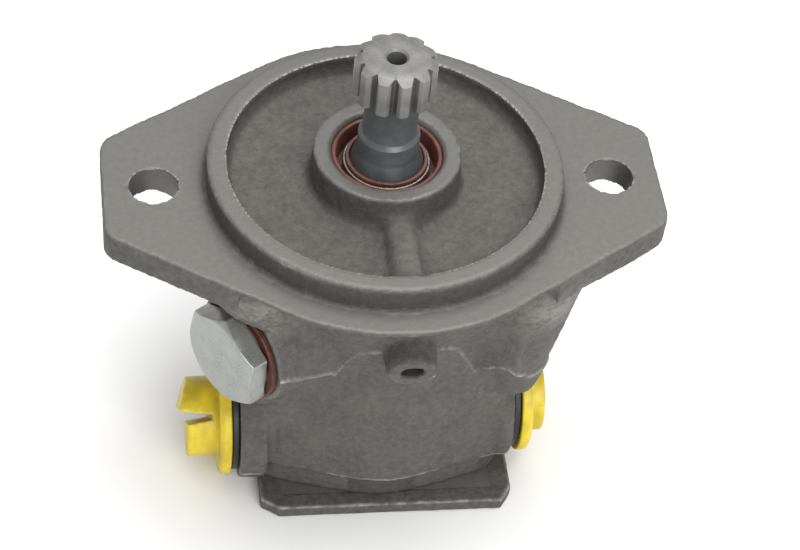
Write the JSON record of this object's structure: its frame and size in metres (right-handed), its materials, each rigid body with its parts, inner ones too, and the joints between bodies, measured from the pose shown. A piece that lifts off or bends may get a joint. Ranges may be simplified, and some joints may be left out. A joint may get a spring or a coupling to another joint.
{
  "type": "axial piston pump",
  "caption": "Swash-plate axial piston pump with a two-bolt oval flange, round pilot, splined shaft, drain plug and capped side ports.",
  "frame": {"origin": "centre of the mounting face, on the shaft axis where the pilot ring meets the flange", "axes": "+Z out along the shaft, +X through a mounting bolt hole, -Y towards the weep hole"},
  "size_m": [0.13, 0.0968, 0.1231],
  "materials": {
    "cast_iron_body": "fine sand-cast skin, machined faces brighter",
    "cast_iron_cover": "sand-cast skin with worn bright edges",
    "ground_shaft": "hardened and phosphated, spline end brighter",
    "seal_rubber": "red-brown fluoroelastomer, satin",
    "spring_steel": "bright drawn wire",
    "bearing_steel": "ground and polished",
    "cage_brass": "turned, satin",
    "hardened_steel": "ground",
    "slipper_bronze": "lapped bronze",
    "zinc_plate": "zinc plated",
    "copper_washer": "annealed copper",
    "yellow_plastic": "soft translucent polyethylene",
    "black_rubber": "black nitrile, satin"
  },
  "bodies": {
    "pump_case": {"bearing_clip": "spring_steel", "cam_dowels": "hardened_steel", "cam_plate": "hardened_steel", "cover_dowels": "hardened_steel", "cover_screws": "zinc_plate", "cover_seal_ring": "black_rubber", "drain_plug": "zinc_plate", "drain_washer": "copper_washer", "front_bearing_outer_race": "bearing_steel", "housing": "cast_iron_body", "inner_seal_spring": "spring_steel", "inner_shaft_seal": "seal_rubber", "left_port_cap": "yellow_plastic", "left_port_seal": "black_rubber", "outer_seal_spring": "spring_steel", "outer_shaft_seal": "seal_rubber", "rear_bearing_cup": "bearing_steel", "rear_bearing_needles": "bearing_steel", "rear_cover": "cast_iron_cover", "right_port_cap": "yellow_plastic", "right_port_seal": "black_rubber", "valve_dowel": "hardened_steel", "valve_plate": "slipper_bronze"},
    "rotating_group": {"drive_shaft": "ground_shaft", "front_bearing_inner_race": "bearing_steel", "ball_guide": "hardened_steel", "hold_down_pins": "hardened_steel", "upper_spring_washer": "hardened_steel", "block_spring": "spring_steel", "lower_spring_washer": "hardened_steel", "block_clip": "spring_steel", "cylinder_block": "hardened_steel"},
    "front_bearing_ball_set": {"front_bearing_balls": "bearing_steel", "front_bearing_cage": "cage_brass"},
    "retainer": {"retainer_plate": "hardened_steel"},
    "slipper_1_body": {"slipper_1": "slipper_bronze"},
    "piston_1_body": {"piston_1": "hardened_steel"},
    "slipper_2_body": {"slipper_2": "slipper_bronze"},
    "piston_2_body": {"piston_2": "hardened_steel"},
    "slipper_3_body": {"slipper_3": "slipper_bronze"},
    "piston_3_body": {"piston_3": "hardened_steel"},
    "slipper_4_body": {"slipper_4": "slipper_bronze"},
    "piston_4_body": {"piston_4": "hardened_steel"},
    "slipper_5_body": {"slipper_5": "slipper_bronze"},
    "piston_5_body": {"piston_5": "hardened_steel"},
    "slipper_6_body": {"slipper_6": "slipper_bronze"},
    "piston_6_body": {"piston_6": "hardened_steel"},
    "slipper_7_body": {"slipper_7": "slipper_bronze"},
    "piston_7_body": {"piston_7": "hardened_steel"},
    "slipper_8_body": {"slipper_8": "slipper_bronze"},
    "piston_8_body": {"piston_8": "hardened_steel"},
    "slipper_9_body": {"slipper_9": "slipper_bronze"},
    "piston_9_body": {"piston_9": "hardened_steel"}
  },
  "joints": [
    {"name": "shaft_spin", "type": "hinge", "parent": "pump_case", "child": "rotating_group", "pos_m": [0, 0, 0], "axis": [0, 0, 1], "continuous": true},
    {"name": "bearing_ball_spin", "type": "hinge", "parent": "pump_case", "child": "front_bearing_ball_set", "pos_m": [0, 0, 0], "axis": [0, 0, 1], "continuous": true},
    {"name": "retainer_spin", "type": "hinge", "parent": "pump_case", "child": "retainer", "pos_m": [0, 0, -0.03486], "axis": [0, 0.2079, 0.9781], "continuous": true},
    {"name": "slipper_1_turn", "type": "hinge", "parent": "retainer", "child": "slipper_1_body", "pos_m": [0.01466, 0, -0.03486], "axis": [0, 0.2079, 0.9781], "continuous": true},
    {"name": "piston_1_stroke", "type": "hinge", "parent": "slipper_1_body", "child": "piston_1_body", "pos_m": [0.01466, 0, -0.03486], "axis": [0, 0, 1], "continuous": true},
    {"name": "slipper_2_turn", "type": "hinge", "parent": "retainer", "child": "slipper_2_body", "pos_m": [0.01123, 0.00922, -0.03682], "axis": [0, 0.2079, 0.9781], "continuous": true},
    {"name": "piston_2_stroke", "type": "hinge", "parent": "slipper_2_body", "child": "piston_2_body", "pos_m": [0.01123, 0.00922, -0.03682], "axis": [0, 0, 1], "continuous": true},
    {"name": "slipper_3_turn", "type": "hinge", "parent": "retainer", "child": "slipper_3_body", "pos_m": [0.00255, 0.01412, -0.03786], "axis": [0, 0.2079, 0.9781], "continuous": true},
    {"name": "piston_3_stroke", "type": "hinge", "parent": "slipper_3_body", "child": "piston_3_body", "pos_m": [0.00255, 0.01412, -0.03786], "axis": [0, 0, 1], "continuous": true},
    {"name": "slipper_4_turn", "type": "hinge", "parent": "retainer", "child": "slipper_4_body", "pos_m": [-0.00733, 0.01242, -0.0375], "axis": [0, 0.2079, 0.9781], "continuous": true},
    {"name": "piston_4_stroke", "type": "hinge", "parent": "slipper_4_body", "child": "piston_4_body", "pos_m": [-0.00733, 0.01242, -0.0375], "axis": [0, 0, 1], "continuous": true},
    {"name": "slipper_5_turn", "type": "hinge", "parent": "retainer", "child": "slipper_5_body", "pos_m": [-0.01377, 0.0049, -0.03591], "axis": [0, 0.2079, 0.9781], "continuous": true},
    {"name": "piston_5_stroke", "type": "hinge", "parent": "slipper_5_body", "child": "piston_5_body", "pos_m": [-0.01377, 0.0049, -0.03591], "axis": [0, 0, 1], "continuous": true},
    {"name": "slipper_6_turn", "type": "hinge", "parent": "retainer", "child": "slipper_6_body", "pos_m": [-0.01377, -0.0049, -0.03382], "axis": [0, 0.2079, 0.9781], "continuous": true},
    {"name": "piston_6_stroke", "type": "hinge", "parent": "slipper_6_body", "child": "piston_6_body", "pos_m": [-0.01377, -0.0049, -0.03382], "axis": [0, 0, 1], "continuous": true},
    {"name": "slipper_7_turn", "type": "hinge", "parent": "retainer", "child": "slipper_7_body", "pos_m": [-0.00733, -0.01242, -0.03222], "axis": [0, 0.2079, 0.9781], "continuous": true},
    {"name": "piston_7_stroke", "type": "hinge", "parent": "slipper_7_body", "child": "piston_7_body", "pos_m": [-0.00733, -0.01242, -0.03222], "axis": [0, 0, 1], "continuous": true},
    {"name": "slipper_8_turn", "type": "hinge", "parent": "retainer", "child": "slipper_8_body", "pos_m": [0.00255, -0.01412, -0.03186], "axis": [0, 0.2079, 0.9781], "continuous": true},
    {"name": "piston_8_stroke", "type": "hinge", "parent": "slipper_8_body", "child": "piston_8_body", "pos_m": [0.00255, -0.01412, -0.03186], "axis": [0, 0, 1], "continuous": true},
    {"name": "slipper_9_turn", "type": "hinge", "parent": "retainer", "child": "slipper_9_body", "pos_m": [0.01123, -0.00922, -0.0329], "axis": [0, 0.2079, 0.9781], "continuous": true},
    {"name": "piston_9_stroke", "type": "hinge", "parent": "slipper_9_body", "child": "piston_9_body", "pos_m": [0.01123, -0.00922, -0.0329], "axis": [0, 0, 1], "continuous": true}
  ],
  "couplings": [
    {"joint": "bearing_ball_spin", "follows": "shaft_spin", "ratio": 0.38461},
    {"joint": "retainer_spin", "follows": "shaft_spin", "ratio": 1},
    {"joint": "slipper_1_turn", "follows": "shaft_spin", "ratio": -1},
    {"joint": "piston_1_stroke", "follows": "shaft_spin", "ratio": 1},
    {"joint": "slipper_2_turn", "follows": "shaft_spin", "ratio": -1},
    {"joint": "piston_2_stroke", "follows": "shaft_spin", "ratio": 1},
    {"joint": "slipper_3_turn", "follows": "shaft_spin", "ratio": -1},
    {"joint": "piston_3_stroke", "follows": "shaft_spin", "ratio": 1},
    {"joint": "slipper_4_turn", "follows": "shaft_spin", "ratio": -1},
    {"joint": "piston_4_stroke", "follows": "shaft_spin", "ratio": 1},
    {"joint": "slipper_5_turn", "follows": "shaft_spin", "ratio": -1},
    {"joint": "piston_5_stroke", "follows": "shaft_spin", "ratio": 1},
    {"joint": "slipper_6_turn", "follows": "shaft_spin", "ratio": -1},
    {"joint": "piston_6_stroke", "follows": "shaft_spin", "ratio": 1},
    {"joint": "slipper_7_turn", "follows": "shaft_spin", "ratio": -1},
    {"joint": "piston_7_stroke", "follows": "shaft_spin", "ratio": 1},
    {"joint": "slipper_8_turn", "follows": "shaft_spin", "ratio": -1},
    {"joint": "piston_8_stroke", "follows": "shaft_spin", "ratio": 1},
    {"joint": "slipper_9_turn", "follows": "shaft_spin", "ratio": -1},
    {"joint": "piston_9_stroke", "follows": "shaft_spin", "ratio": 1}
  ]
}
